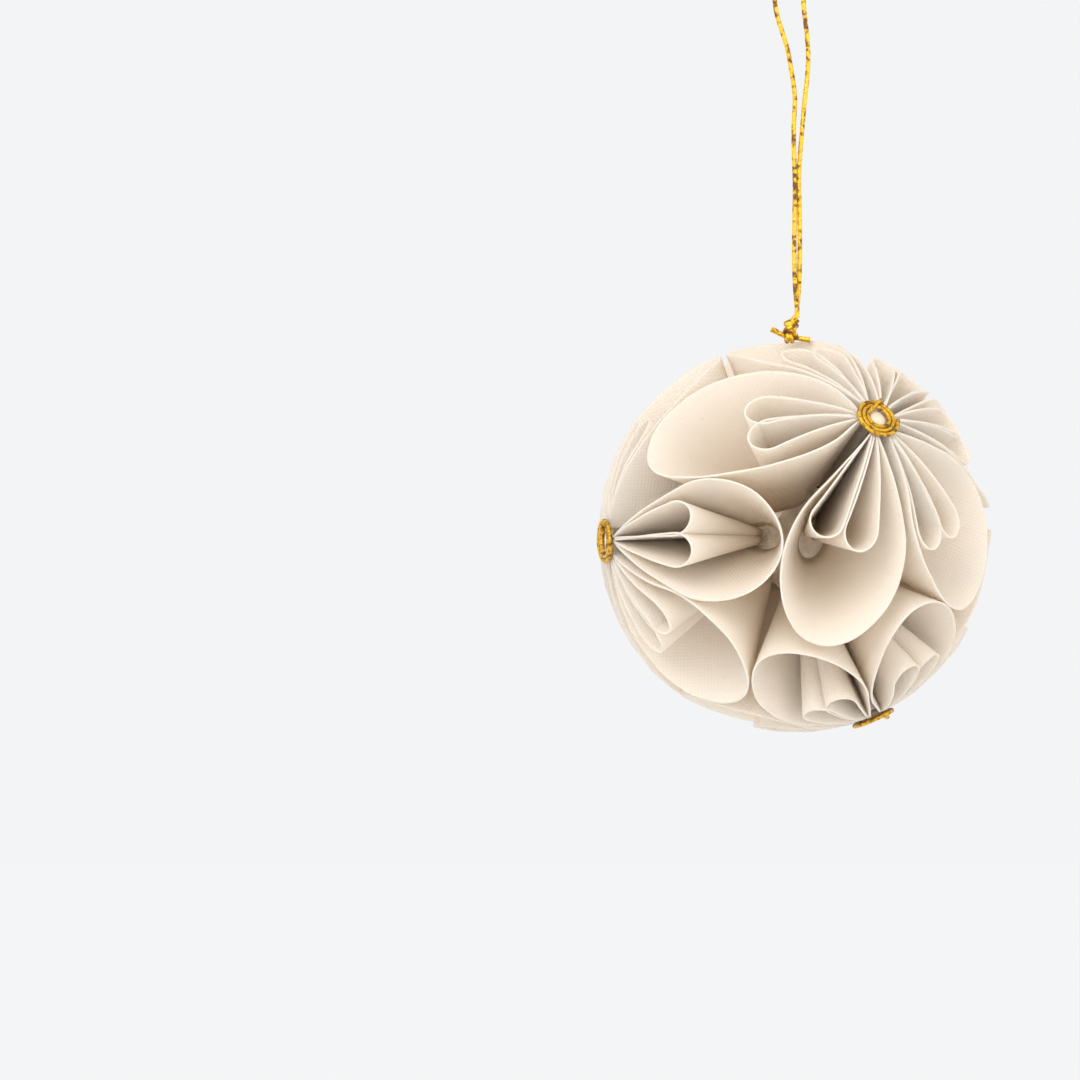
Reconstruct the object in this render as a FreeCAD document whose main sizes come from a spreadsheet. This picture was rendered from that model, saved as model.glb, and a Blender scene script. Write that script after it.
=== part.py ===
import FreeCAD, Part

import math
import os

# Hanging paper ball: four flowers of six folded paper discs, a gold cord coil on each flower and a hanging loop
# Millimetres, Z up, the viewer looks along +Y, and the origin is the inside top of the loop, where a hook goes

doc = FreeCAD.newDocument("PaperBall")
sheet = doc.addObject("Spreadsheet::Sheet", "Sizes")

SIZES = [
    ("ball_radius", 37.5),
    ("paper_thickness", 0.4),
    ("point_standoff", 4.5),
    ("crushed_radius", 7),
    ("hub_radius", 2.4),
    ("coil_cord", 0.95),
    ("coil_turns", 2.75),
    ("coil_hole_radius", 1.5),
    ("coil_edge", 0.3),
    ("seat_clearance", 0.05),
    ("loop_cord", 0.9),
    ("hang_height", 105),
    ("hang_offset", 1.25),
    ("loop_width", 5.6),
    ("knot_radius", 1.7),
    ("knot_length", 3.4),
    ("wrap_radius", 0.95),
    ("wrap_length", 2.7),
    ("tail_cord", 1.1),
    ("tail_length", 4.2),
]
for row, (alias, value) in enumerate(SIZES, start=1):
    sheet.set("A%d" % row, alias)
    sheet.set("B%d" % row, str(value))
    sheet.setAlias("B%d" % row, alias)
doc.recompute()

R_BALL = float(sheet.ball_radius)
PAPER = float(sheet.paper_thickness)
STANDOFF = float(sheet.point_standoff)
CRUSHED = float(sheet.crushed_radius)
HUB = float(sheet.hub_radius)
LOOP_CORD = float(sheet.loop_cord)

CENTRE = FreeCAD.Vector(float(sheet.hang_offset), 0, -float(sheet.hang_height))
UP = FreeCAD.Vector(0, 0, 1)
HUB_ANGLE = math.degrees(HUB / R_BALL)
# The folds of the two fingers lie half a sheet beside the lobe's own fold
FOLD_STEP = math.degrees(PAPER / 2 / R_BALL)
FOLD_TURN = math.degrees(PAPER / 2 / HUB)
LOBE_PANELS = 14
FINGER_PANELS = 6

# Where the middle of each flower is, as a turn about Z from +X and a rise above the equator, in degrees
FLOWERS = {
    "front": (-61, 36),
    "left": (-163.6, -1.1),
    "under": (7, -66.2),
    "back": (80, 20),
}
# Petal azimuths are counted counterclockwise, seen from outside, from the direction of this other flower
AZIMUTH_ZERO = {"front": "left", "left": "front", "under": "front", "back": "front"}

# One row is one folded disc, all in degrees of arc on the ball.
# Flower, number, azimuth of its start at the hub, lobe (reach, azimuth, half widths left and right, round length),
# then its two inner fingers, the left one first (reach, azimuth, half width, round length)
PETALS = [
    ("front", 1, 353, (73, 349, 18.5, 18, 33), [(39, 4, 5, 6), (39, 347, 5, 6)]),
    ("front", 2, 71, (72, 77, 17, 19.5, 26), [(42, 78, 5, 6), (42, 60, 5, 5)]),
    ("front", 3, 127, (68, 139, 18, 18.5, 26), [(42, 133, 4.5, 6), (42, 118, 4.5, 6)]),
    ("front", 4, 186, (71, 192, 17, 16.5, 22), [(40, 198, 5, 6), (40, 182, 5, 6)]),
    ("front", 5, 230, (68, 242, 15, 15, 22), [(38, 244, 4.5, 6), (38, 230, 4.5, 6)]),
    ("front", 6, 289, (68, 287, 16, 15, 22), [(40, 295, 5, 6), (36, 280, 4.5, 6)]),
    ("left", 1, 326, (68.5, 322, 18.5, 17.5, 22), [(41, 334, 5, 6), (41, 318, 5, 6)]),
    ("left", 2, 263, (65, 263, 21, 19, 23), [(37, 273, 5, 8), (38, 255, 5, 8)]),
    ("left", 3, 202, (71, 196, 17.5, 20, 22), [(40, 206, 5, 6), (40, 190, 5, 6)]),
    ("left", 4, 135, (63, 145, 15, 17, 22), [(38, 149, 4.5, 6), (38, 134, 4.5, 6)]),
    ("left", 5, 107, (74, 95, 14.5, 14, 22), [(40, 108, 4, 6), (40, 95, 4, 6)]),
    ("left", 6, 57, (67.5, 55, 14, 13, 22), [(38, 63, 4.5, 6), (38, 48, 4.5, 6)]),
    ("under", 1, 64, (63, 66.5, 14, 16, 22), [(36, 72, 4.5, 6), (36, 57, 4.5, 6)]),
    ("under", 2, 3, (58, 11.5, 14.5, 16.5, 22), [(36, 15, 4.5, 6), (36, 359, 4.5, 6)]),
    ("under", 3, 116, (60, 124, 16, 19, 22), [(36, 127, 4.5, 6), (36, 111, 4.5, 6)]),
    ("under", 4, 169, (67, 180, 18, 16, 22), [(38, 183, 4.5, 6), (38, 168, 4.5, 6)]),
    ("under", 5, 256, (60, 248, 15, 18, 26), [(36, 258, 4.5, 6), (36, 242, 4.5, 6)]),
    ("under", 6, 319, (68, 312, 15.5, 15, 26), [(38, 323, 4.5, 6), (38, 308, 4.5, 6)]),
    ("back", 1, 13, (59, 23, 14, 14, 23), [(36, 26, 4, 6), (36, 12, 4, 6)]),
    ("back", 2, 78, (71, 80, 15, 22, 22), [(38, 86, 4.5, 6), (38, 71, 4.5, 6)]),
    ("back", 3, 139, (60, 149, 15, 15, 22), [(36, 152, 4.5, 6), (36, 138, 4.5, 6)]),
    ("back", 4, 193, (74, 195, 17, 14.5, 22), [(40, 201, 4.5, 6), (40, 187, 4.5, 6)]),
    ("back", 5, 254, (60, 244, 14.5, 14.5, 22), [(36, 255, 4, 6), (36, 241, 4, 6)]),
    ("back", 6, 307, (61, 313, 22.5, 22.5, 23), [(38, 318, 5, 6), (38, 301, 5, 6)]),
]


def on_ball(flower, reach, azimuth):
    """Unit vector at a distance from a flower's middle, in a direction around it."""
    turn, rise = FLOWERS[flower]
    middle = unit_vector(turn, rise)
    other = unit_vector(*FLOWERS[AZIMUTH_ZERO[flower]])
    toward = other - middle * other.dot(middle)
    toward.normalize()
    aside = middle.cross(toward)
    a = math.radians(reach)
    b = math.radians(azimuth)
    return middle * math.cos(a) + (toward * math.cos(b) + aside * math.sin(b)) * math.sin(a)


def unit_vector(turn, rise):
    """Unit vector from a turn about Z and a rise above the equator."""
    a = math.radians(turn)
    b = math.radians(rise)
    return FreeCAD.Vector(math.cos(a) * math.cos(b), math.sin(a) * math.cos(b), math.sin(b))


def drop_outline(start, tip, half_left, half_right, round_length, panels):
    """Rim of one loop of paper on the ball: straight from the start, round at the tip, and straight back."""
    reach = math.degrees(start.getAngle(tip))
    middle = start + tip
    middle.normalize()
    ahead = tip - middle * tip.dot(middle)
    ahead.normalize()
    left = middle.cross(ahead)
    to_round = reach - round_length
    first = math.acos(-round_length / to_round)
    flat = [(0, 0)]
    for i in range(panels + 1):
        angle = first - 2 * first * i / panels
        half = half_left if angle > 0 else half_right
        flat.append((to_round + round_length * math.cos(angle), half * math.sin(angle)))
    rim = []
    for along, aside in flat:
        along -= reach / 2
        away = math.hypot(along, aside)
        bearing = (ahead * along + left * aside) / away
        rim.append(middle * math.cos(math.radians(away)) + bearing * math.sin(math.radians(away)))
    # From the start and counterclockwise, seen from outside
    rim = rim[:1] + rim[:0:-1]
    return [point * R_BALL for point in rim]


def flat_face(points):
    """Flat face through points, counterclockwise seen from its outer side."""
    return Part.Face(Part.makePolygon(points + points[:1]))


def paper_loop(point_of_disc, rim):
    """One loop of the folded disc: flat panels that run from the rim straight towards the disc's own centre."""
    count = len(rim)
    rays = []
    lengths = []
    for place in rim:
        ray = place - point_of_disc
        lengths.append(ray.Length)
        rays.append(ray.normalize())
    inward = []
    for i in range(count):
        side = rays[i].cross(rays[(i + 1) % count])
        inward.append(side.normalize())
    inner = []
    outer = []
    for i in range(count):
        before = inward[i - 1]
        after = inward[i]
        mitre = (before + after) * (PAPER / 2 / (1 + before.dot(after)))
        top = point_of_disc + rays[i] * lengths[i]
        low = point_of_disc + rays[i] * CRUSHED
        inner.append((top + mitre, low + mitre))
        if i == 0:
            outer.append((top - after * (PAPER / 2), low - after * (PAPER / 2)))
            closing = (top - before * (PAPER / 2), low - before * (PAPER / 2))
        else:
            outer.append((top - mitre, low - mitre))
    inner.append(inner[0])
    outer.append(closing)
    faces = []
    for i in range(count):
        out_top, out_low = outer[i]
        next_out_top, next_out_low = outer[i + 1]
        in_top, in_low = inner[i]
        next_in_top, next_in_low = inner[i + 1]
        faces.append(flat_face([out_top, out_low, next_out_low, next_out_top]))
        faces.append(flat_face([in_top, next_in_top, next_in_low, in_low]))
        faces.append(flat_face([out_top, next_out_top, next_in_top]))
        faces.append(flat_face([out_top, next_in_top, in_top]))
        faces.append(flat_face([out_low, next_in_low, next_out_low]))
        faces.append(flat_face([out_low, in_low, next_in_low]))
    # The fold at the hub, where the loop's two ends lie back to back
    faces.append(flat_face([closing[0], closing[1], outer[0][1], outer[0][0]]))
    faces.append(flat_face([closing[0], outer[0][0], inner[0][0]]))
    faces.append(flat_face([closing[1], inner[0][1], outer[0][1]]))
    shell = Part.makeShell(faces)
    shell.sewShape()
    return Part.makeSolid(Part.Shell(shell.Faces))


def folded_disc(flower, start_azimuth, lobe, fingers):
    """One whole paper disc, folded into a wide outer lobe with two fingers inside it, all pinched at the hub."""
    start = on_ball(flower, HUB_ANGLE, start_azimuth)
    reach, azimuth, half_left, half_right, round_length = lobe
    tip = on_ball(flower, reach, azimuth)
    middle = start + tip
    middle.normalize()
    point_of_disc = middle * STANDOFF
    rim = drop_outline(start, tip, half_left, half_right, round_length, LOBE_PANELS)
    loops = [paper_loop(point_of_disc, rim)]
    for side, (reach, azimuth, half, round_length) in zip((1, -1), fingers):
        fold = on_ball(flower, HUB_ANGLE + FOLD_STEP, start_azimuth + side * FOLD_TURN)
        tip = on_ball(flower, reach, azimuth)
        rim = drop_outline(fold, tip, half, half, round_length, FINGER_PANELS)
        loops.append(paper_loop(point_of_disc, rim))
    return loops[0].fuse(loops[1:])


def add_petal(flower, number, start_azimuth, lobe, fingers):
    """A petal as an object of the document, in its place under the loop."""
    name = "petal_%s_%d" % (flower, number)
    petal = doc.addObject("Part::Feature", name)
    petal.Label = name
    petal.Shape = folded_disc(flower, start_azimuth, lobe, fingers)
    petal.Placement = FreeCAD.Placement(CENTRE, FreeCAD.Rotation())
    return petal


def add_coil(flower):
    """The outer shape of a flat coil of cord, flat on the pinched folds at the middle of its flower."""
    outward = unit_vector(*FLOWERS[flower])
    seat = CENTRE + outward * (R_BALL + float(sheet.seat_clearance))
    place = FreeCAD.Placement(seat, FreeCAD.Rotation(UP, outward))
    disc = doc.addObject("Part::Cylinder", "coil_disc_" + flower)
    disc.setExpression("Radius", "Sizes.coil_hole_radius + Sizes.coil_turns * Sizes.coil_cord")
    disc.setExpression("Height", "Sizes.coil_cord")
    disc.Placement = place
    hole = doc.addObject("Part::Cylinder", "coil_hole_" + flower)
    hole.setExpression("Radius", "Sizes.coil_hole_radius")
    hole.setExpression("Height", "Sizes.coil_cord")
    hole.Placement = place
    ring = doc.addObject("Part::Cut", "coil_ring_" + flower)
    ring.Base = disc
    ring.Tool = hole
    doc.recompute()
    coil = doc.addObject("Part::Chamfer", "coil_" + flower)
    coil.Label = "coil_" + flower
    coil.Base = ring
    edge = float(sheet.coil_edge)
    round_edges = [
        i + 1
        for i, line in enumerate(ring.Shape.Edges)
        if line.Closed and (line.Curve.Center - seat).Length > float(sheet.coil_cord) / 2
    ]
    coil.Edges = [(i, edge, edge) for i in round_edges]
    return coil


def cord_tube(route, diameter):
    """Tube along straight runs joined by tangent arcs, each as large as its two runs allow."""
    edges = []
    radii = []
    last = route[0]
    for i in range(1, len(route) - 1):
        corner = route[i]
        back = route[i - 1] - corner
        on = route[i + 1] - corner
        half_turn = (math.pi - back.getAngle(on)) / 2
        trim = 0.45 * min(back.Length, on.Length)
        radii.append(trim / math.tan(half_turn))
        first = corner + back.normalize() * trim
        second = corner + on.normalize() * trim
        bisector = (back + on).normalize()
        top = corner + bisector * (radii[-1] / math.cos(half_turn) - radii[-1])
        edges.append(Part.LineSegment(last, first).toShape())
        edges.append(Part.Arc(first, top, second).toShape())
        last = second
    edges.append(Part.LineSegment(last, route[-1]).toShape())
    path = Part.Wire(edges)
    section = Part.Wire(Part.Circle(route[0], route[1] - route[0], diameter / 2).toShape())
    tube = path.makePipeShell([section], True, True)
    expected = math.pi * diameter ** 2 / 4 * path.Length
    print("cord length %.1f mm, smallest radius %.2f mm" % (path.Length, min(radii)))
    print("radii", [round(radius, 1) for radius in radii])
    print("volume %.2f mm3, section times length %.2f mm3" % (tube.Volume, expected))
    return tube


def cylinder(name, radius, length, middle, axis):
    """Cylinder bound to two sheet sizes, with its middle and axis given."""
    shape = doc.addObject("Part::Cylinder", name)
    shape.setExpression("Radius", radius)
    shape.setExpression("Height", length)
    doc.recompute()
    axis = FreeCAD.Vector(axis)
    axis.normalize()
    shape.Placement = FreeCAD.Placement(middle - axis * (shape.Height.Value / 2), FreeCAD.Rotation(UP, axis))
    return shape


# The knot sits on top of the ball, with one tail to each side
WRAP_ASIDE = -1.3
LUMP_ASIDE = 0.5
KNOT_BEHIND = 0.7
# The lump reaches down into the wrap, and the wrap lies against a rim of paper, a little below the ball's full height
LUMP_SINK = 0.5
WRAP_RISE = -0.45
WRAP_TOP = CENTRE.z + R_BALL + WRAP_RISE + 2 * float(sheet.wrap_radius)
WRAP_MIDDLE = FreeCAD.Vector(CENTRE.x + WRAP_ASIDE, KNOT_BEHIND, WRAP_TOP - float(sheet.wrap_radius))
LUMP_LIFT = float(sheet.wrap_radius) + float(sheet.knot_length) / 2 - LUMP_SINK
KNOT_MIDDLE = WRAP_MIDDLE + FreeCAD.Vector(LUMP_ASIDE, 0, LUMP_LIFT)
KNOT_LEAN = FreeCAD.Vector(0.45, 0, 1)
NECK_LENGTH = 1.2
NECK_RISE = 0.5
KNOT_TOP = KNOT_MIDDLE.z + float(sheet.knot_length) / 2 + NECK_RISE
TAIL_RISE = 0.6
LEFT_TAIL = FreeCAD.Vector(1, 0, -0.6)
RIGHT_TAIL = FreeCAD.Vector(1, 0, -0.15)

# Both strands of the loop, from the knot up to the hook and down again; the photograph shows them taut
STRAND = 0.5
NECK_X = CENTRE.x + 0.4
BIGHT = float(sheet.loop_width) / 2
LOOP_ROUTE = [
    (NECK_X, KNOT_BEHIND - STRAND, KNOT_TOP),
    (NECK_X, KNOT_BEHIND - STRAND, KNOT_TOP + 1.8),
    (1.3, -0.38, -58.2),
    (1.05, 0, -51.5),
    (1.2, -0.2, -42.5),
    (1.25, -0.42, -36.5),
    (1.0, -0.2, -31.0),
    (1.0, 0, -25.8),
    (1.35, 0, -21.0),
    (0.55, 0, -15.8),
    (-0.2, 0, -11.6),
    (-1.45, 0, -7.8),
    (-2.4, 0, -4.75),
    (-BIGHT, 0, -0.75),
    (0, 0, 0.9),
    (BIGHT, 0, -0.75),
    (2.95, 0, -4.4),
    (3.5, 0, -8.6),
    (3.85, 0, -13.2),
    (3.6, 0, -17.4),
    (3.1, 0, -21.4),
    (2.7, 0, -26.2),
    (2.3, 0.2, -31.0),
    (1.88, 0.42, -36.5),
    (2.15, 0.2, -42.5),
    (2.2, 0, -51.5),
    (2.0, 0.38, -58.2),
    (NECK_X, KNOT_BEHIND + STRAND, KNOT_TOP + 1.8),
    (NECK_X, KNOT_BEHIND + STRAND, KNOT_TOP),
]


def add_loop():
    """The hanging loop, one cord up from the knot, round the hook and down again."""
    loop = doc.addObject("Part::Feature", "hanging_loop")
    loop.Label = "hanging_loop"
    loop.Shape = cord_tube([FreeCAD.Vector(point) for point in LOOP_ROUTE], LOOP_CORD)
    return loop


def add_knot():
    """The knot: a slanting lump, the wrap under it, two short tails and the neck that the strands leave."""
    tail_step = FreeCAD.Vector(0.5 * float(sheet.wrap_length) + 0.25 * float(sheet.tail_length), 0, 0)
    neck_middle = FreeCAD.Vector(NECK_X, KNOT_BEHIND, KNOT_TOP - NECK_LENGTH / 2)
    neck = doc.addObject("Part::Cylinder", "knot_neck")
    neck.setExpression("Radius", "Sizes.loop_cord * 1.12")
    neck.Height = NECK_LENGTH
    neck.Placement = FreeCAD.Placement(neck_middle - UP * (NECK_LENGTH / 2), FreeCAD.Rotation())
    pieces = [
        neck,
        cylinder("knot_lump", "Sizes.knot_radius", "Sizes.knot_length", KNOT_MIDDLE, KNOT_LEAN),
        cylinder("knot_wrap", "Sizes.wrap_radius", "Sizes.wrap_length", WRAP_MIDDLE, (1, 0, 0)),
        cylinder("knot_tail_left", "Sizes.tail_cord / 2", "Sizes.tail_length",
                 WRAP_MIDDLE - tail_step + UP * TAIL_RISE, LEFT_TAIL),
        cylinder("knot_tail_right", "Sizes.tail_cord / 2", "Sizes.tail_length",
                 WRAP_MIDDLE + tail_step, RIGHT_TAIL),
    ]
    knot = doc.addObject("Part::MultiFuse", "hanging_knot")
    knot.Label = "hanging_knot"
    knot.Shapes = pieces
    return knot


parts = []
for flower, number, start_azimuth, lobe, fingers in PETALS:
    parts.append(add_petal(flower, number, start_azimuth, lobe, fingers))
for flower in FLOWERS:
    parts.append(add_coil(flower))
parts.append(add_loop())
parts.append(add_knot())
doc.recompute()

for item in doc.Objects:
    if "Invalid" in item.State or "Error" in item.State:
        raise RuntimeError("failed object: " + item.Name)
for item in parts:
    if item.Shape.isNull() or not item.Shape.isValid() or len(item.Shape.Solids) != 1:
        raise RuntimeError("bad shape: " + item.Label)

os.makedirs("parts", exist_ok=True)
for item in parts:
    item.Shape.exportStep(os.path.join("parts", item.Label + ".step"))
print(len(parts), "parts written")
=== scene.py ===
import math

import bmesh
import bpy
from bpy.props import FloatProperty, FloatVectorProperty, IntProperty, PointerProperty
from bpy.types import Operator, Panel, PropertyGroup
from mathutils import Matrix, Vector, noise


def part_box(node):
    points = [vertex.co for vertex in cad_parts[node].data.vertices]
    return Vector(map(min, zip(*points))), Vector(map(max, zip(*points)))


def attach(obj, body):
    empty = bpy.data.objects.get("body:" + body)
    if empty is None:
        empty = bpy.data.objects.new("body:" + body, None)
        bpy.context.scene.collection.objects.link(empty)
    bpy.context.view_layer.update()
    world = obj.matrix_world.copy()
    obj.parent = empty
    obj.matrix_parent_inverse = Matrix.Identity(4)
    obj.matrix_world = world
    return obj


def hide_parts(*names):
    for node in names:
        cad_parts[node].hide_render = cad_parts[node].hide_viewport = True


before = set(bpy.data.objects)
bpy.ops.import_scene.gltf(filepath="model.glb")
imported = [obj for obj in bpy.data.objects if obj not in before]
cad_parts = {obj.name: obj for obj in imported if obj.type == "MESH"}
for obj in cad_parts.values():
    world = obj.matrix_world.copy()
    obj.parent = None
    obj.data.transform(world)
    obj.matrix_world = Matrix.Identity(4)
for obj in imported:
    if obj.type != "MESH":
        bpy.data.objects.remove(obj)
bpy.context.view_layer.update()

bl_info = {
    "name": "Hanging Paper Ball",
    "version": (1, 0, 0),
    "blender": (4, 5, 0),
    "location": "View3D > Sidebar > Paper Ball",
    "description": "Folded paper petals with gold cord coils and a hanging loop, on a pale stage",
    "category": "Object",
}

MM = 0.001
UP = Vector((0, 0, 1))
BALL_CENTRE = Vector((1.25, 0, -105)) * MM

# Where the middle of each flower is, as a turn about Z from +X and a rise above the equator, in degrees
FLOWERS = {
    "front": (-61, 36),
    "left": (-163.6, -1.1),
    "under": (7, -66.2),
    "back": (80, 20),
}
# Petal azimuths are counted counterclockwise, seen from outside, from the direction of this other flower
AZIMUTH_ZERO = {"front": "left", "left": "front", "under": "front", "back": "front"}

# One row is one folded disc, all in degrees of arc on the ball.
# Flower, number, azimuth of its start at the hub, lobe (reach, azimuth, half widths left and right, round length),
# then its two inner fingers, the left one first (reach, azimuth, half width, round length)
PETALS = [
    ("front", 1, 353, (73, 349, 18.5, 18, 33), [(39, 4, 5, 6), (39, 347, 5, 6)]),
    ("front", 2, 71, (72, 77, 17, 19.5, 26), [(42, 78, 5, 6), (42, 60, 5, 5)]),
    ("front", 3, 127, (68, 139, 18, 18.5, 26), [(42, 133, 4.5, 6), (42, 118, 4.5, 6)]),
    ("front", 4, 186, (71, 192, 17, 16.5, 22), [(40, 198, 5, 6), (40, 182, 5, 6)]),
    ("front", 5, 230, (68, 242, 15, 15, 22), [(38, 244, 4.5, 6), (38, 230, 4.5, 6)]),
    ("front", 6, 289, (68, 287, 16, 15, 22), [(40, 295, 5, 6), (36, 280, 4.5, 6)]),
    ("left", 1, 326, (68.5, 322, 18.5, 17.5, 22), [(41, 334, 5, 6), (41, 318, 5, 6)]),
    ("left", 2, 263, (65, 263, 21, 19, 23), [(37, 273, 5, 8), (38, 255, 5, 8)]),
    ("left", 3, 202, (71, 196, 17.5, 20, 22), [(40, 206, 5, 6), (40, 190, 5, 6)]),
    ("left", 4, 135, (63, 145, 15, 17, 22), [(38, 149, 4.5, 6), (38, 134, 4.5, 6)]),
    ("left", 5, 107, (74, 95, 14.5, 14, 22), [(40, 108, 4, 6), (40, 95, 4, 6)]),
    ("left", 6, 57, (67.5, 55, 14, 13, 22), [(38, 63, 4.5, 6), (38, 48, 4.5, 6)]),
    ("under", 1, 64, (63, 66.5, 14, 16, 22), [(36, 72, 4.5, 6), (36, 57, 4.5, 6)]),
    ("under", 2, 3, (58, 11.5, 14.5, 16.5, 22), [(36, 15, 4.5, 6), (36, 359, 4.5, 6)]),
    ("under", 3, 116, (60, 124, 16, 19, 22), [(36, 127, 4.5, 6), (36, 111, 4.5, 6)]),
    ("under", 4, 169, (67, 180, 18, 16, 22), [(38, 183, 4.5, 6), (38, 168, 4.5, 6)]),
    ("under", 5, 256, (60, 248, 15, 18, 26), [(36, 258, 4.5, 6), (36, 242, 4.5, 6)]),
    ("under", 6, 319, (68, 312, 15.5, 15, 26), [(38, 323, 4.5, 6), (38, 308, 4.5, 6)]),
    ("back", 1, 13, (59, 23, 14, 14, 23), [(36, 26, 4, 6), (36, 12, 4, 6)]),
    ("back", 2, 78, (71, 80, 15, 22, 22), [(38, 86, 4.5, 6), (38, 71, 4.5, 6)]),
    ("back", 3, 139, (60, 149, 15, 15, 22), [(36, 152, 4.5, 6), (36, 138, 4.5, 6)]),
    ("back", 4, 193, (74, 195, 17, 14.5, 22), [(40, 201, 4.5, 6), (40, 187, 4.5, 6)]),
    ("back", 5, 254, (60, 244, 14.5, 14.5, 22), [(36, 255, 4, 6), (36, 241, 4, 6)]),
    ("back", 6, 307, (61, 313, 22.5, 22.5, 23), [(38, 318, 5, 6), (38, 301, 5, 6)]),
]

# Where the inner end of each coil crosses over its turns, as a turn about the flower's own direction, in degrees
COIL_END = {"front": 150, "left": 40, "under": 200, "back": 310}

# The route of the hanging loop: up from the knot, round the hook and down again, in millimetres
KNOT_BEHIND = 0.7
KNOT_TOP = -63.3
NECK_X = 1.65
LOOP_ROUTE = [
    (NECK_X, KNOT_BEHIND - 0.5, KNOT_TOP),
    (NECK_X, KNOT_BEHIND - 0.5, KNOT_TOP + 1.8),
    (1.3, -0.38, -58.2),
    (1.05, 0, -51.5),
    (1.2, -0.2, -42.5),
    (1.25, -0.42, -36.5),
    (1.0, -0.2, -31.0),
    (1.0, 0, -25.8),
    (1.35, 0, -21.0),
    (0.55, 0, -15.8),
    (-0.2, 0, -11.6),
    (-1.45, 0, -7.8),
    (-2.4, 0, -4.75),
    (-2.8, 0, -0.75),
    (0, 0, 0.9),
    (2.8, 0, -0.75),
    (2.95, 0, -4.4),
    (3.5, 0, -8.6),
    (3.85, 0, -13.2),
    (3.6, 0, -17.4),
    (3.1, 0, -21.4),
    (2.7, 0, -26.2),
    (2.3, 0.2, -31.0),
    (1.88, 0.42, -36.5),
    (2.15, 0.2, -42.5),
    (2.2, 0, -51.5),
    (2.0, 0.38, -58.2),
    (NECK_X, KNOT_BEHIND + 0.5, KNOT_TOP + 1.8),
    (NECK_X, KNOT_BEHIND + 0.5, KNOT_TOP),
]


class PaperSizes(PropertyGroup):
    ball_radius: FloatProperty(
        name="Ball radius", description="Distance of the rims from the ball's centre",
        default=37.5 * MM, unit="LENGTH", precision=4)
    sheet: FloatProperty(
        name="Paper thickness", description="Thickness of the folded sheet",
        default=0.36 * MM, unit="LENGTH", precision=5)
    standoff: FloatProperty(
        name="Point of the discs", description="How far each disc's centre stands off the ball's centre",
        default=4.5 * MM, unit="LENGTH", precision=4)
    crushed: FloatProperty(
        name="Crushed radius", description="Length of each disc's crushed point",
        default=7 * MM, unit="LENGTH", precision=4)
    hub: FloatProperty(
        name="Hub radius", description="Distance of the folds from the middle of a flower",
        default=2.4 * MM, unit="LENGTH", precision=4)
    wave: FloatProperty(
        name="Rim wave", description="How far a hand-cut rim strays in and out",
        default=0.4 * MM, unit="LENGTH", precision=5)
    bow: FloatProperty(
        name="Sheet bow", description="How far the sheet bends out of its true form",
        default=0.16 * MM, unit="LENGTH", precision=5)
    lobe_steps: IntProperty(
        name="Lobe steps", description="Points round the rim of a lobe", default=84, min=24)
    finger_steps: IntProperty(
        name="Finger steps", description="Points round the rim of a finger", default=48, min=16)
    rings: IntProperty(
        name="Rings", description="Rings of faces from the rim to the point", default=11, min=4)
    ivory: FloatVectorProperty(
        name="Ivory", description="Colour of the open paper", subtype="COLOR",
        default=(0.955, 0.905, 0.825))
    # Painted shade: the paper is mixed towards this warmer, darker colour deeper in the folds, in place of the shade
    # and warm light through the paper there
    painted_fold_shade: FloatVectorProperty(
        name="Painted fold shade", description="Colour of the paper deep in the folds", subtype="COLOR",
        default=(0.93, 0.775, 0.60))
    # A darker tone mixed in along the rim of each loop
    rim: FloatVectorProperty(
        name="Cut rim", description="Colour of the cut rim", subtype="COLOR",
        default=(0.80, 0.75, 0.66))


class CordSizes(PropertyGroup):
    coil_cord: FloatProperty(
        name="Coil cord", description="Thickness of the cord in the coils",
        default=0.88 * MM, unit="LENGTH", precision=5)
    coil_pitch: FloatProperty(
        name="Coil pitch", description="Step from one turn to the next",
        default=0.93 * MM, unit="LENGTH", precision=5)
    coil_turns: FloatProperty(
        name="Coil turns", description="Turns of cord in a coil", default=2.7)
    coil_hole: FloatProperty(
        name="Coil hole", description="Radius of the hole in a coil",
        default=1.45 * MM, unit="LENGTH", precision=5)
    loop_cord: FloatProperty(
        name="Loop cord", description="Thickness of the cord of the loop",
        default=0.9 * MM, unit="LENGTH", precision=5)
    gold: FloatVectorProperty(
        name="Gold", description="Colour of the metallic thread", subtype="COLOR",
        default=(0.86, 0.54, 0.045))
    coil_gold: FloatVectorProperty(
        name="Coil gold", description="Colour of the metallic thread in the coils", subtype="COLOR",
        default=(0.66, 0.38, 0.03))
    dark: FloatVectorProperty(
        name="Dark thread", description="Colour between the metallic threads", subtype="COLOR",
        default=(0.17, 0.065, 0.008))


class StageSizes(PropertyGroup):
    distance: FloatProperty(
        name="Camera distance", description="Distance of the camera from the ball",
        default=2.0, unit="LENGTH")
    view_width: FloatProperty(
        name="View width", description="Width of what the camera sees at the ball",
        default=0.20663, unit="LENGTH", precision=4)
    view_x: FloatProperty(
        name="View middle X", description="Middle of the view from left to right",
        default=-47.54 * MM, unit="LENGTH", precision=4)
    view_z: FloatProperty(
        name="View middle Z", description="Middle of the view from low to high",
        default=-105.77 * MM, unit="LENGTH", precision=4)
    floor_z: FloatProperty(
        name="Floor height", description="Height of the floor below the hook",
        default=-0.26, unit="LENGTH")
    pale: FloatVectorProperty(
        name="Backdrop", description="Colour of the pale floor and background", subtype="COLOR",
        default=(0.90, 0.905, 0.915))
    world_light: FloatProperty(
        name="World light", description="Strength of the even light from all round", default=1.17)
    key_power: FloatProperty(
        name="Key light", description="Power of the large lamp above the camera", default=7.8, unit="POWER")


def unit_vector(turn, rise):
    """Unit vector from a turn about Z and a rise above the equator, in degrees."""
    a = math.radians(turn)
    b = math.radians(rise)
    return Vector((math.cos(a) * math.cos(b), math.sin(a) * math.cos(b), math.sin(b)))


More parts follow.
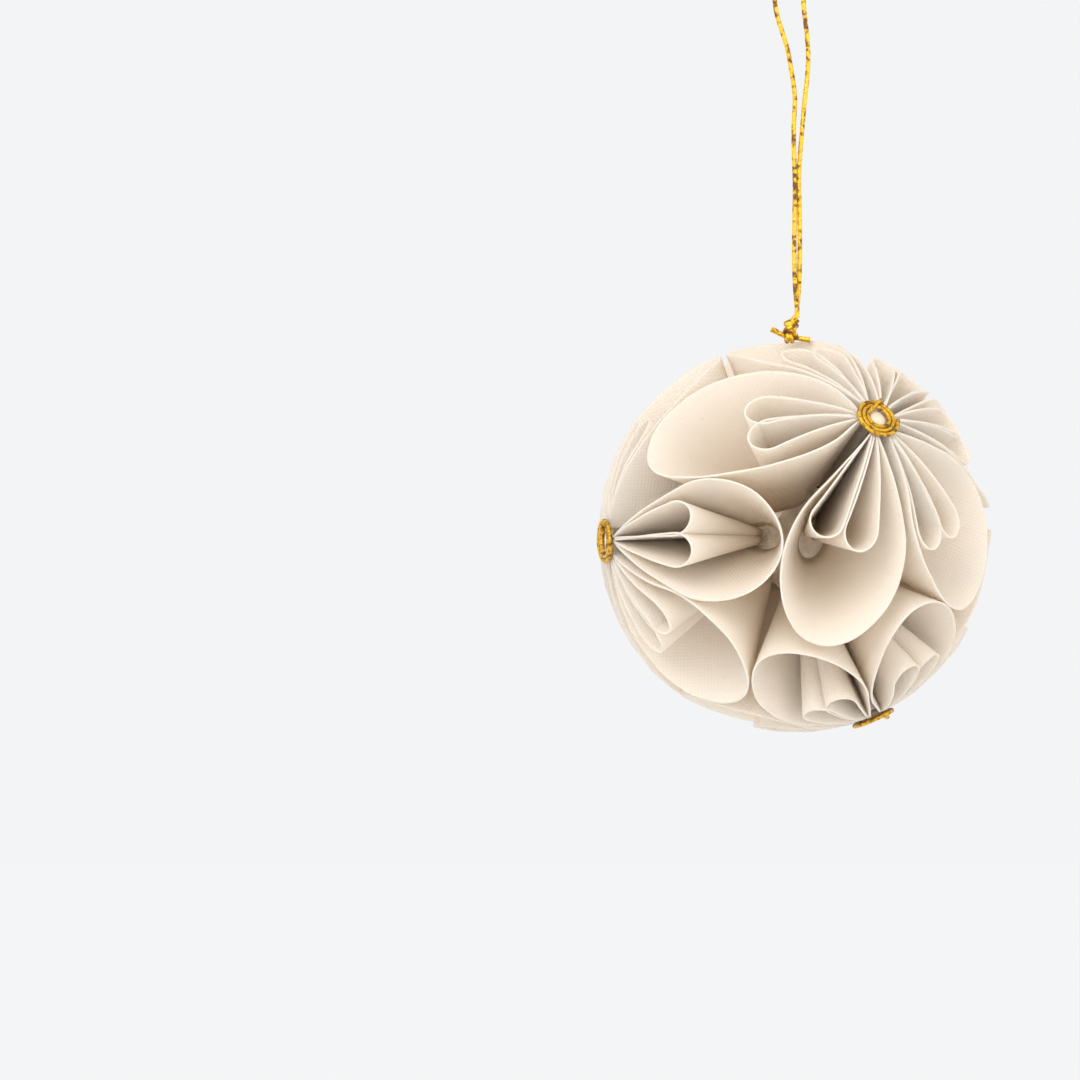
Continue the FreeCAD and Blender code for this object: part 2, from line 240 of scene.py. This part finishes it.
def on_ball(flower, reach, azimuth):
    """Unit vector at a distance from a flower's middle, in a direction around it."""
    middle = unit_vector(*FLOWERS[flower])
    other = unit_vector(*FLOWERS[AZIMUTH_ZERO[flower]])
    toward = (other - middle * other.dot(middle)).normalized()
    aside = middle.cross(toward)
    a = math.radians(reach)
    b = math.radians(azimuth)
    return middle * math.cos(a) + (toward * math.cos(b) + aside * math.sin(b)) * math.sin(a)


def rim_outline(start, tip, half_left, half_right, round_length, steps):
    """Unit vectors along a loop's rim: straight from the start, round at the tip, straight back to the start."""
    reach = math.degrees(start.angle(tip))
    middle = (start + tip).normalized()
    ahead = (tip - middle * tip.dot(middle)).normalized()
    left = middle.cross(ahead)
    to_round = reach - round_length
    first = math.acos(-round_length / to_round)
    side_steps = steps // 4
    arc_steps = steps - 2 * side_steps
    flat = []
    corner_right = (to_round + round_length * math.cos(first), -half_right * math.sin(first))
    corner_left = (to_round + round_length * math.cos(first), half_left * math.sin(first))
    for i in range(side_steps):
        share = i / side_steps
        flat.append((corner_right[0] * share, corner_right[1] * share))
    for i in range(arc_steps + 1):
        angle = -first + 2 * first * i / arc_steps
        half = half_left if angle > 0 else half_right
        flat.append((to_round + round_length * math.cos(angle), half * math.sin(angle)))
    for i in range(1, side_steps):
        share = 1 - i / side_steps
        flat.append((corner_left[0] * share, corner_left[1] * share))
    rim = []
    for along, aside in flat:
        along -= reach / 2
        away = math.hypot(along, aside)
        bearing = (ahead * along + left * aside) / away
        rim.append(middle * math.cos(math.radians(away)) + bearing * math.sin(math.radians(away)))
    return rim


def add_loop_of_paper(bm, rim, point, sizes, turned, seed):
    """One loop of the folded disc: its rim drawn in ring by ring towards the disc's own centre."""
    column = bm.verts.layers.int["column"]
    ring = bm.verts.layers.float["depth"]
    edge = bm.verts.layers.float["rim"]
    uv = bm.loops.layers.uv["sheet"]
    count = len(rim)
    made = bmesh.ops.create_circle(bm, segments=count, radius=1)["verts"]
    rays = []
    for i, (vert, place) in enumerate(zip(made, rim)):
        vert.co = place * sizes.ball_radius
        vert[column] = i
        vert[ring] = 0
        vert[edge] = 1
        rays.append((vert.co - point).normalized())
    turns = [turned]
    for i in range(count):
        turns.append(turns[-1] + rays[i].angle(rays[(i + 1) % count]))
    outer = [e for e in bm.edges if e.verts[0] in made and e.verts[1] in made]
    length = sizes.ball_radius - sizes.crushed
    first = 0.45 * MM
    shares = [first / length] + [first / length + (1 - first / length) * (i / (sizes.rings - 1)) ** 1.15
                                 for i in range(1, sizes.rings)]
    scale_now = 1.0
    all_verts = list(made)
    faces = []
    for level, share in enumerate(shares):
        grown = bmesh.ops.extrude_edge_only(bm, edges=outer)["geom"]
        verts = [g for g in grown if isinstance(g, bmesh.types.BMVert)]
        faces += [g for g in grown if isinstance(g, bmesh.types.BMFace)]
        outer = [g for g in grown if isinstance(g, bmesh.types.BMEdge)]
        target = 1 - share * (1 - sizes.crushed / (sizes.ball_radius - sizes.standoff))
        factor = target / scale_now
        scale_now = target
        bmesh.ops.scale(bm, verts=verts, vec=(factor,) * 3, space=Matrix.Translation(-point))
        for vert in verts:
            vert[ring] = share
            vert[edge] = 0
        all_verts += verts
    for face in faces:
        wraps = {loop.vert[column] for loop in face.loops} == {0, count - 1}
        for loop in face.loops:
            i = loop.vert[column]
            turn = turns[count] if wraps and i == 0 else turns[i]
            reach = (loop.vert.co - point).length
            loop[uv].uv = (reach * math.cos(turn), reach * math.sin(turn))
    sides = []
    for i in range(count):
        sides.append((rays[i - 1].cross(rays[(i + 1) % count])).normalized())
    for vert in all_verts:
        i = vert[column]
        # A hand-cut rim strays along the sheet, and the sheet bows a little across it, but not at the hub's fold
        open_share = min(1, 4 * min(i, count - i) / count)
        fade = (1 - vert[ring]) ** 1.5 * open_share
        spot = Vector((math.cos(turns[i]), math.sin(turns[i]), seed * 3.7))
        stray = noise.noise(spot * 2.6) + 0.45 * noise.noise(spot * 9.0 + UP * 5)
        bow = noise.noise(spot * 4.2 + UP * (11 + 1.6 * vert[ring]))
        vert.co += rays[i] * (sizes.wave * stray * fade) + sides[i] * (sizes.bow * bow * fade)
    return turns[count]


def add_petal(flower, number, start_azimuth, lobe, fingers, sizes, material):
    """One whole paper disc, folded into a wide outer lobe with two fingers inside it, all pinched at the hub."""
    bm = bmesh.new()
    bm.verts.layers.int.new("column")
    bm.verts.layers.float.new("depth")
    bm.verts.layers.float.new("rim")
    bm.loops.layers.uv.new("sheet")
    hub_angle = math.degrees(sizes.hub / sizes.ball_radius)
    step = math.degrees(0.2 * MM / sizes.ball_radius)
    turn = math.degrees(0.2 * MM / sizes.hub)
    start = on_ball(flower, hub_angle, start_azimuth)
    reach, azimuth, half_left, half_right, round_length = lobe
    tip = on_ball(flower, reach, azimuth)
    point = (start + tip).normalized() * sizes.standoff
    seed = number + 10 * len(flower)
    rim = rim_outline(start, tip, half_left, half_right, round_length, sizes.lobe_steps)
    turned = add_loop_of_paper(bm, rim, point, sizes, 0, seed)
    for side, (reach, azimuth, half, round_length) in zip((1, -1), fingers):
        fold = on_ball(flower, hub_angle + step, start_azimuth + side * turn)
        tip = on_ball(flower, reach, azimuth)
        rim = rim_outline(fold, tip, half, half, round_length, sizes.finger_steps)
        turned = add_loop_of_paper(bm, rim, point, sizes, turned, seed + 5 * side)
    bmesh.ops.recalc_face_normals(bm, faces=bm.faces)
    bmesh.ops.translate(bm, verts=bm.verts, vec=BALL_CENTRE)
    node = "petal_%s_%d" % (flower, number)
    piece = finished_piece(bm, "folded_" + node, material)
    thick = piece.modifiers.new("Sheet", "SOLIDIFY")
    thick.thickness = sizes.sheet
    thick.offset = 0
    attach(piece, "root")
    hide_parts(node)
    return piece


def add_core(sizes, material):
    """The crushed points of all the discs, packed together in the middle of the ball."""
    bm = bmesh.new()
    bmesh.ops.create_icosphere(bm, subdivisions=5, radius=sizes.standoff + 0.86 * sizes.crushed)
    uv = bm.loops.layers.uv.new("sheet")
    depth = bm.verts.layers.float.new("depth")
    bm.verts.layers.float.new("rim")
    for vert in bm.verts:
        spot = vert.co / sizes.crushed
        crush = abs(noise.noise(spot * 2.2)) + 0.5 * abs(noise.noise(spot * 5.1))
        vert.co -= vert.co.normalized() * (2.4 * MM * crush)
        # The crushed points take the full painted fold shade
        vert[depth] = 1
    for face in bm.faces:
        for loop in face.loops:
            loop[uv].uv = (loop.vert.co.x, loop.vert.co.z)
    bmesh.ops.translate(bm, verts=bm.verts, vec=BALL_CENTRE)
    core = finished_piece(bm, "crushed_points", material)
    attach(core, "root")
    return core


def finished_piece(bm, name, material):
    """A bmesh as a smooth object at the origin, with one material."""
    mesh = bpy.data.meshes.new(name)
    bm.to_mesh(mesh)
    bm.free()
    mesh.shade_smooth()
    mesh.set_sharp_from_angle(angle=math.radians(50))
    mesh.materials.append(material)
    piece = bpy.data.objects.new(name, mesh)
    bpy.context.scene.collection.objects.link(piece)
    return piece


def link(tree, start, end):
    """Join two sockets of a node tree."""
    tree.links.new(start, end)


def math_node(tree, operation, first, second):
    """A Math node from sockets or plain numbers."""
    node = tree.nodes.new("ShaderNodeMath")
    node.operation = operation
    for socket, value in zip(node.inputs, (first, second)):
        if isinstance(value, (int, float)):
            socket.default_value = value
        else:
            link(tree, value, socket)
    return node.outputs[0]


def mix_colour(tree, factor, first, second):
    """A Mix node between two colours."""
    node = tree.nodes.new("ShaderNodeMix")
    node.data_type = "RGBA"
    for socket, value in ((node.inputs[0], factor), (node.inputs[6], first), (node.inputs[7], second)):
        if isinstance(value, bpy.types.NodeSocket):
            link(tree, value, socket)
        elif isinstance(value, (int, float)):
            socket.default_value = value
        else:
            socket.default_value = (*value, 1)
    return node.outputs[2]


def woven_grain_group():
    """Shader group: the crossed ribs of a laid sheet with soft clouds and a few dark fibres."""
    group = bpy.data.node_groups.new("Woven Grain", "ShaderNodeTree")
    face = group.interface
    face.new_socket("Vector", in_out="INPUT", socket_type="NodeSocketVector")
    ribs = face.new_socket("Ribs per metre", in_out="INPUT", socket_type="NodeSocketFloat")
    ribs.default_value = 2000
    face.new_socket("Height", in_out="OUTPUT", socket_type="NodeSocketFloat")
    face.new_socket("Clouds", in_out="OUTPUT", socket_type="NodeSocketFloat")
    face.new_socket("Fibres", in_out="OUTPUT", socket_type="NodeSocketFloat")
    source = group.nodes.new("NodeGroupInput")
    result = group.nodes.new("NodeGroupOutput")
    split = group.nodes.new("ShaderNodeSeparateXYZ")
    link(group, source.outputs["Vector"], split.inputs[0])
    wobble = group.nodes.new("ShaderNodeTexNoise")
    wobble.inputs["Scale"].default_value = 260
    wobble.inputs["Detail"].default_value = 2
    link(group, source.outputs["Vector"], wobble.inputs["Vector"])
    sines = []
    for axis in (0, 1):
        turns = math_node(group, "MULTIPLY", split.outputs[axis], source.outputs["Ribs per metre"])
        turns = math_node(group, "MULTIPLY", turns, 2 * math.pi)
        drift = math_node(group, "MULTIPLY", wobble.outputs[0], 5.0)
        turns = math_node(group, "ADD", turns, drift)
        sines.append(math_node(group, "SINE", turns, 0))
    weave = math_node(group, "MULTIPLY", sines[0], sines[1])
    ribs_sum = math_node(group, "ADD", sines[0], math_node(group, "MULTIPLY", sines[1], 0.6))
    weave = math_node(group, "ADD", math_node(group, "MULTIPLY", weave, 0.5), math_node(group, "MULTIPLY", ribs_sum, 0.3))
    tooth = group.nodes.new("ShaderNodeTexNoise")
    tooth.inputs["Scale"].default_value = 5200
    tooth.inputs["Detail"].default_value = 3
    link(group, source.outputs["Vector"], tooth.inputs["Vector"])
    height = math_node(group, "ADD", weave, math_node(group, "MULTIPLY", tooth.outputs[0], 1.4))
    link(group, height, result.inputs["Height"])
    clouds = group.nodes.new("ShaderNodeTexNoise")
    clouds.inputs["Scale"].default_value = 95
    clouds.inputs["Detail"].default_value = 3
    link(group, source.outputs["Vector"], clouds.inputs["Vector"])
    link(group, clouds.outputs[0], result.inputs["Clouds"])
    fibre = group.nodes.new("ShaderNodeTexVoronoi")
    fibre.inputs["Scale"].default_value = 240
    link(group, source.outputs["Vector"], fibre.inputs["Vector"])
    spots = group.nodes.new("ShaderNodeMapRange")
    spots.inputs["From Min"].default_value = 0.035
    spots.inputs["From Max"].default_value = 0.05
    spots.inputs["To Min"].default_value = 1
    spots.inputs["To Max"].default_value = 0
    link(group, fibre.outputs["Distance"], spots.inputs["Value"])
    link(group, spots.outputs[0], result.inputs["Fibres"])
    return group


def paper_material(sizes):
    """Ivory craft paper: crossed ribs, painted warm shade deeper in the folds, a darker line along the rims, and some
    light through the sheet.
    """
    material = bpy.data.materials.new("Ivory Paper")
    material.use_nodes = True
    tree = material.node_tree
    tree.nodes.clear()
    output = tree.nodes.new("ShaderNodeOutputMaterial")
    paper = tree.nodes.new("ShaderNodeBsdfPrincipled")
    paper.inputs["Roughness"].default_value = 0.82
    paper.inputs["Specular IOR Level"].default_value = 0.3
    paper.inputs["Sheen Weight"].default_value = 0.12
    through = tree.nodes.new("ShaderNodeBsdfTranslucent")
    through.inputs["Color"].default_value = (1.0, 0.86, 0.68, 1)
    mix = tree.nodes.new("ShaderNodeMixShader")
    mix.inputs[0].default_value = 0.24
    link(tree, paper.outputs[0], mix.inputs[1])
    link(tree, through.outputs[0], mix.inputs[2])
    link(tree, mix.outputs[0], output.inputs["Surface"])
    sheet = tree.nodes.new("ShaderNodeUVMap")
    sheet.uv_map = "sheet"
    grain = tree.nodes.new("ShaderNodeGroup")
    grain.node_tree = woven_grain_group()
    grain.inputs["Ribs per metre"].default_value = 1500
    link(tree, sheet.outputs[0], grain.inputs["Vector"])
    depth = tree.nodes.new("ShaderNodeAttribute")
    depth.attribute_name = "depth"
    rim = tree.nodes.new("ShaderNodeAttribute")
    rim.attribute_name = "rim"
    # Painted shade: towards the point of each disc the colour is mixed towards the warmer, darker fold colour
    deep = math_node(tree, "POWER", depth.outputs["Fac"], 1.3)
    colour = mix_colour(tree, math_node(tree, "MULTIPLY", deep, 0.8), sizes.ivory, sizes.painted_fold_shade)
    clouds = math_node(tree, "MULTIPLY", grain.outputs["Clouds"], 0.16)
    colour = mix_colour(tree, clouds, colour, (0.98, 0.90, 0.80))
    ribs = math_node(tree, "MULTIPLY", math_node(tree, "ADD", grain.outputs["Height"], -0.7), 0.13)
    colour = mix_colour(tree, ribs, colour, (0.66, 0.55, 0.42))
    colour = mix_colour(tree, math_node(tree, "MULTIPLY", grain.outputs["Fibres"], 0.35), colour, (0.30, 0.20, 0.12))
    # Darker along the rim: the colour is mixed towards the rim colour where the rim attribute is near 1
    cut = math_node(tree, "POWER", rim.outputs["Fac"], 2.0)
    colour = mix_colour(tree, math_node(tree, "MULTIPLY", cut, 0.55), colour, sizes.rim)
    link(tree, colour, paper.inputs["Base Color"])
    bump = tree.nodes.new("ShaderNodeBump")
    bump.inputs["Strength"].default_value = 0.55
    bump.inputs["Distance"].default_value = 0.08 * MM
    link(tree, grain.outputs["Height"], bump.inputs["Height"])
    link(tree, bump.outputs[0], paper.inputs["Normal"])
    return material


def gold_thread_group():
    """Shader group: bright foil flecks over a darker core thread."""
    group = bpy.data.node_groups.new("Gold Thread", "ShaderNodeTree")
    face = group.interface
    face.new_socket("Vector", in_out="INPUT", socket_type="NodeSocketVector")
    flecks = face.new_socket("Flecks per metre", in_out="INPUT", socket_type="NodeSocketFloat")
    flecks.default_value = 2400
    face.new_socket("Foil", in_out="OUTPUT", socket_type="NodeSocketFloat")
    face.new_socket("Height", in_out="OUTPUT", socket_type="NodeSocketFloat")
    source = group.nodes.new("NodeGroupInput")
    result = group.nodes.new("NodeGroupOutput")
    cells = group.nodes.new("ShaderNodeTexVoronoi")
    cells.inputs["Randomness"].default_value = 0.9
    link(group, source.outputs["Vector"], cells.inputs["Vector"])
    link(group, source.outputs["Flecks per metre"], cells.inputs["Scale"])
    drift = group.nodes.new("ShaderNodeTexNoise")
    drift.inputs["Detail"].default_value = 2
    link(group, source.outputs["Vector"], drift.inputs["Vector"])
    link(group, math_node(group, "MULTIPLY", source.outputs["Flecks per metre"], 0.45), drift.inputs["Scale"])
    foil = group.nodes.new("ShaderNodeMapRange")
    foil.inputs["From Min"].default_value = 0.36
    foil.inputs["From Max"].default_value = 0.52
    link(group, drift.outputs[0], foil.inputs["Value"])
    link(group, foil.outputs[0], result.inputs["Foil"])
    link(group, cells.outputs["Distance"], result.inputs["Height"])
    return group


def gold_material(name, group, gold, dark, flecks):
    """Cord wrapped in gold foil thread."""
    material = bpy.data.materials.new(name)
    material.use_nodes = True
    tree = material.node_tree
    cord = tree.nodes["Principled BSDF"]
    cord.inputs["Specular IOR Level"].default_value = 0.6
    where = tree.nodes.new("ShaderNodeTexCoord")
    thread = tree.nodes.new("ShaderNodeGroup")
    thread.node_tree = group
    thread.inputs["Flecks per metre"].default_value = flecks
    link(tree, where.outputs["Object"], thread.inputs["Vector"])
    link(tree, mix_colour(tree, thread.outputs["Foil"], dark, gold), cord.inputs["Base Color"])
    metal = math_node(tree, "ADD", math_node(tree, "MULTIPLY", thread.outputs["Foil"], 0.5), 0.35)
    link(tree, metal, cord.inputs["Metallic"])
    rough = math_node(tree, "SUBTRACT", 0.62, math_node(tree, "MULTIPLY", thread.outputs["Foil"], 0.34))
    link(tree, rough, cord.inputs["Roughness"])
    bump = tree.nodes.new("ShaderNodeBump")
    bump.inputs["Strength"].default_value = 0.8
    bump.inputs["Distance"].default_value = 0.12 * MM
    link(tree, thread.outputs["Height"], bump.inputs["Height"])
    link(tree, bump.outputs[0], cord.inputs["Normal"])
    return material


def glue_material():
    """Dried glue and paper fibre in the hole of a coil."""
    material = bpy.data.materials.new("Dried Glue")
    material.use_nodes = True
    tree = material.node_tree
    glue = tree.nodes["Principled BSDF"]
    glue.inputs["Roughness"].default_value = 0.55
    where = tree.nodes.new("ShaderNodeTexCoord")
    mottle = tree.nodes.new("ShaderNodeTexNoise")
    mottle.inputs["Scale"].default_value = 1600
    link(tree, where.outputs["Object"], mottle.inputs["Vector"])
    link(tree, mix_colour(tree, mottle.outputs[0], (0.72, 0.55, 0.36), (0.90, 0.80, 0.64)), glue.inputs["Base Color"])
    bump = tree.nodes.new("ShaderNodeBump")
    bump.inputs["Strength"].default_value = 0.5
    bump.inputs["Distance"].default_value = 0.2 * MM
    link(tree, mottle.outputs[0], bump.inputs["Height"])
    link(tree, bump.outputs[0], glue.inputs["Normal"])
    return material


def cord_curve(name, route, diameter, material):
    """A cord along one open spline with the route as its control points."""
    curve = bpy.data.curves.new(name, "CURVE")
    curve.dimensions = "3D"
    curve.bevel_depth = diameter / 2
    curve.bevel_resolution = 4
    curve.resolution_u = 8
    curve.use_fill_caps = True
    spline = curve.splines.new("NURBS")
    spline.points.add(len(route) - 1)
    for spot, place in zip(spline.points, route):
        spot.co = (*place, 1)
    spline.order_u = 3
    spline.use_endpoint_u = True
    curve.materials.append(material)
    piece = bpy.data.objects.new(name, curve)
    bpy.context.scene.collection.objects.link(piece)
    return piece


def flower_frame(flower):
    """Rotation from flat, +Z up, to flat on the ball at the middle of a flower."""
    return UP.rotation_difference(unit_vector(*FLOWERS[flower])).to_matrix()


def coil_route(flower, sizes, ball_radius):
    """Points of a flat coil: from the end that lies over the turns, in to the hole, then round and out."""
    turn = flower_frame(flower)
    middle = BALL_CENTRE + unit_vector(*FLOWERS[flower]) * (ball_radius + 0.05 * MM + 0.475 * MM)
    steps = 14
    inner = sizes.coil_hole + sizes.coil_cord / 2
    begin = math.radians(COIL_END[flower])
    flat = []
    # The inner end lies over the turns and dips into the hole
    for radius, ahead, lift in ((3.6, -0.95, 1.02), (2.9, -0.72, 1.05), (2.2, -0.42, 0.8)):
        flat.append((radius * MM, begin + ahead, lift * MM))
    for i in range(int(steps * sizes.coil_turns) + 1):
        share = i / steps
        slack = 0.03 * MM * math.sin(5 * share + begin)
        flat.append((inner + sizes.coil_pitch * share + slack, begin + 2 * math.pi * share, 0))
    route = []
    for radius, angle, lift in flat:
        place = Vector((radius * math.cos(angle), radius * math.sin(angle), lift))
        route.append(middle + turn @ place)
    return route


def strand_ring(bm, middle, radius, thickness, lean, around):
    """One turn of cord about a knot: a small circle spun about an axis that leans."""
    turn = Matrix.Rotation(around, 3, "Z") @ Matrix.Rotation(lean, 3, "X")
    section = bmesh.ops.create_circle(bm, segments=10, radius=thickness / 2)["verts"]
    bmesh.ops.rotate(bm, verts=section, matrix=Matrix.Rotation(math.pi / 2, 3, "X"))
    bmesh.ops.translate(bm, verts=section, vec=(radius, 0, 0))
    edges = [e for e in bm.edges if e.verts[0] in section and e.verts[1] in section]
    before = set(bm.verts) - set(section)
    bmesh.ops.spin(bm, geom=section + edges, cent=(0, 0, 0), axis=(0, 0, 1), angle=2 * math.pi,
                   steps=28, use_merge=True)
    ring = [v for v in bm.verts if v not in before]
    bmesh.ops.rotate(bm, verts=ring, matrix=turn)
    bmesh.ops.translate(bm, verts=ring, vec=middle)


def cord_stub(bm, start, end, thickness):
    """A short cut end of cord, a little wider where it frays."""
    run = end - start
    turn = UP.rotation_difference(run).to_matrix().to_4x4()
    place = Matrix.Translation((start + end) / 2) @ turn
    bmesh.ops.create_cone(bm, cap_ends=True, segments=12, radius1=thickness / 2, radius2=thickness * 0.62,
                          depth=run.length, matrix=place)


class PAPERBALL_OT_petals(Operator):
    """Fold the twenty-four paper discs into petals."""
    bl_idname = "paperball.petals"
    bl_label = "Petals"

    def execute(self, context):
        sizes = context.scene.paperball_paper
        material = paper_material(sizes)
        for flower, number, start_azimuth, lobe, fingers in PETALS:
            add_petal(flower, number, start_azimuth, lobe, fingers, sizes, material)
        add_core(sizes, material)
        return {"FINISHED"}


class PAPERBALL_OT_coils(Operator):
    """Wind a flat coil of gold cord on the middle of each flower, over a drop of glue."""
    bl_idname = "paperball.coils"
    bl_label = "Coils"

    def execute(self, context):
        paper = context.scene.paperball_paper
        sizes = context.scene.paperball_cord
        group = bpy.data.node_groups.get("Gold Thread") or gold_thread_group()
        gold = gold_material("Coil Gold", group, sizes.coil_gold, sizes.dark, 2600)
        glue = glue_material()
        for flower in FLOWERS:
            route = coil_route(flower, sizes, paper.ball_radius)
            piece = cord_curve("gold_coil_" + flower, route, sizes.coil_cord, gold)
            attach(piece, "root")
            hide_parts("coil_" + flower)
            drop = bmesh.new()
            bmesh.ops.create_uvsphere(drop, u_segments=24, v_segments=12, radius=2.3 * MM)
            bmesh.ops.scale(drop, verts=drop.verts, vec=(1, 1, 0.28))
            bmesh.ops.rotate(drop, verts=drop.verts, matrix=flower_frame(flower))
            outward = unit_vector(*FLOWERS[flower])
            bmesh.ops.translate(drop, verts=drop.verts,
                                vec=BALL_CENTRE + outward * (paper.ball_radius - 0.35 * MM))
            dab = finished_piece(drop, "glue_" + flower, glue)
            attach(dab, "root")
        return {"FINISHED"}


class PAPERBALL_OT_loop(Operator):
    """Hang the cord loop and tie its knot on top of the ball."""
    bl_idname = "paperball.loop"
    bl_label = "Hanging loop"

    def execute(self, context):
        sizes = context.scene.paperball_cord
        group = bpy.data.node_groups.get("Gold Thread") or gold_thread_group()
        gold = gold_material("Loop Gold", group, sizes.gold, sizes.dark, 1900)
        route = [Vector(place) * MM for place in LOOP_ROUTE]
        loop = cord_curve("gold_loop", route, sizes.loop_cord, gold)
        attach(loop, "root")
        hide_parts("hanging_loop")
        low, high = [Vector(corner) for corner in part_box("hanging_knot")]
        thick = sizes.loop_cord
        bm = bmesh.new()
        wrap = Vector((-0.05, KNOT_BEHIND, -67.0)) * MM
        lump = Vector((0.45, KNOT_BEHIND, -65.2)) * MM
        core = bmesh.ops.create_uvsphere(bm, u_segments=20, v_segments=12, radius=1.15 * MM)["verts"]
        bmesh.ops.scale(bm, verts=core, vec=(1.0, 1.0, 1.5))
        bmesh.ops.translate(bm, verts=core, vec=lump)
        strand_ring(bm, lump + UP * 0.8 * MM, 1.0 * MM, thick, 0.35, 0.3)
        strand_ring(bm, lump - UP * 0.1 * MM, 1.25 * MM, thick, -0.5, 1.2)
        strand_ring(bm, lump - UP * 0.9 * MM, 1.15 * MM, thick, 0.55, 2.0)
        strand_ring(bm, wrap + Vector((0.7, 0, 0)) * MM, 0.75 * MM, thick, 1.45, 1.4)
        strand_ring(bm, wrap - Vector((0.2, 0, 0)) * MM, 0.75 * MM, thick, 1.6, 1.7)
        cord_stub(bm, wrap + Vector((-0.5, 0, 0.2)) * MM, Vector((-3.3, KNOT_BEHIND, -65.4)) * MM, thick)
        cord_stub(bm, wrap + Vector((0.9, 0, 0)) * MM, Vector((4.2, KNOT_BEHIND, -67.5)) * MM, thick)
        cord_stub(bm, lump + UP * 0.9 * MM, Vector((NECK_X, KNOT_BEHIND, KNOT_TOP)) * MM, 1.6 * thick)
        for vert in bm.verts:
            vert.co.x = min(max(vert.co.x, low.x), high.x)
        bmesh.ops.recalc_face_normals(bm, faces=bm.faces)
        knot = finished_piece(bm, "gold_knot", gold)
        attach(knot, "root")
        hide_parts("hanging_knot")
        return {"FINISHED"}


class PAPERBALL_OT_stage(Operator):
    """Set the pale floor, the even light and the camera at the photograph's view."""
    bl_idname = "paperball.stage"
    bl_label = "Stage"

    def execute(self, context):
        sizes = context.scene.paperball_stage
        scene = context.scene
        scene.view_settings.view_transform = "Standard"
        world = bpy.data.worlds.new("Even Light")
        scene.world = world
        world.use_nodes = True
        tree = world.node_tree
        tree.nodes.clear()
        output = tree.nodes.new("ShaderNodeOutputWorld")
        light = tree.nodes.new("ShaderNodeBackground")
        light.inputs[0].default_value = (1.0, 0.99, 0.975, 1)
        light.inputs[1].default_value = sizes.world_light
        seen = tree.nodes.new("ShaderNodeBackground")
        seen.inputs[0].default_value = (*sizes.pale, 1)
        path = tree.nodes.new("ShaderNodeLightPath")
        mix = tree.nodes.new("ShaderNodeMixShader")
        link(tree, path.outputs["Is Camera Ray"], mix.inputs[0])
        link(tree, light.outputs[0], mix.inputs[1])
        link(tree, seen.outputs[0], mix.inputs[2])
        link(tree, mix.outputs[0], output.inputs[0])

        bm = bmesh.new()
        bmesh.ops.create_circle(bm, cap_ends=True, segments=64, radius=3.0)
        bmesh.ops.translate(bm, verts=bm.verts, vec=(0, 0, sizes.floor_z))
        floor = finished_piece(bm, "pale_floor", floor_material(sizes))

        add_lamp("Key", (-0.55, -1.15, 0.75), 1.1, sizes.key_power)
        add_lamp("Fill", (0.95, -0.9, 0.15), 1.0, sizes.key_power * 0.28)

        data = bpy.data.cameras.new("View")
        data.sensor_width = 36
        data.lens = 36 * sizes.distance / sizes.view_width
        data.clip_end = 20
        camera = bpy.data.objects.new("View", data)
        camera.location = (sizes.view_x, -sizes.distance, sizes.view_z)
        camera.rotation_euler = (math.pi / 2, 0, 0)
        scene.collection.objects.link(camera)
        scene.camera = camera
        return {"FINISHED"}


def floor_material(sizes):
    """Pale floor that the camera sees as bright as the background, with the ball's soft shadow."""
    material = bpy.data.materials.new("Pale Floor")
    material.use_nodes = True
    tree = material.node_tree
    tree.nodes.clear()
    output = tree.nodes.new("ShaderNodeOutputMaterial")
    matt = tree.nodes.new("ShaderNodeBsdfDiffuse")
    matt.inputs[0].default_value = (*sizes.pale, 1)
    bright = tree.nodes.new("ShaderNodeEmission")
    bright.inputs[0].default_value = (*sizes.pale, 1)
    path = tree.nodes.new("ShaderNodeLightPath")
    mix = tree.nodes.new("ShaderNodeMixShader")
    link(tree, math_node(tree, "MULTIPLY", path.outputs["Is Camera Ray"], 0.95), mix.inputs[0])
    link(tree, matt.outputs[0], mix.inputs[1])
    link(tree, bright.outputs[0], mix.inputs[2])
    link(tree, mix.outputs[0], output.inputs[0])
    return material


def add_lamp(name, place, size, power):
    """A large soft lamp that faces the ball."""
    data = bpy.data.lights.new(name, "AREA")
    data.shape = "DISK"
    data.size = size
    data.energy = power
    lamp = bpy.data.objects.new(name, data)
    lamp.location = place
    lamp.rotation_euler = (BALL_CENTRE - Vector(place)).to_track_quat("-Z", "Y").to_euler()
    bpy.context.scene.collection.objects.link(lamp)


class PAPERBALL_PT_panel(Panel):
    """The pieces of the ball and their sizes."""
    bl_idname = "PAPERBALL_PT_panel"
    bl_label = "Paper Ball"
    bl_space_type = "VIEW_3D"
    bl_region_type = "UI"
    bl_category = "Paper Ball"

    def draw(self, context):
        for kind in OPERATORS:
            self.layout.operator(kind.bl_idname)
        for group in (context.scene.paperball_paper, context.scene.paperball_cord, context.scene.paperball_stage):
            box = self.layout.box()
            for name in group.__annotations__:
                box.prop(group, name)


GROUPS = {"paperball_paper": PaperSizes, "paperball_cord": CordSizes, "paperball_stage": StageSizes}
OPERATORS = (PAPERBALL_OT_petals, PAPERBALL_OT_coils, PAPERBALL_OT_loop, PAPERBALL_OT_stage)


def register():
    for name, group in GROUPS.items():
        bpy.utils.register_class(group)
        setattr(bpy.types.Scene, name, PointerProperty(type=group))
    for kind in OPERATORS + (PAPERBALL_PT_panel,):
        bpy.utils.register_class(kind)


def unregister():
    for kind in reversed(OPERATORS + (PAPERBALL_PT_panel,)):
        bpy.utils.unregister_class(kind)
    for name, group in reversed(GROUPS.items()):
        delattr(bpy.types.Scene, name)
        bpy.utils.unregister_class(group)


def main():
    register()
    bpy.ops.paperball.stage()
    bpy.ops.paperball.petals()
    bpy.ops.paperball.coils()
    bpy.ops.paperball.loop()
    bpy.context.view_layer.update()


if __name__ == "__main__":
    main()
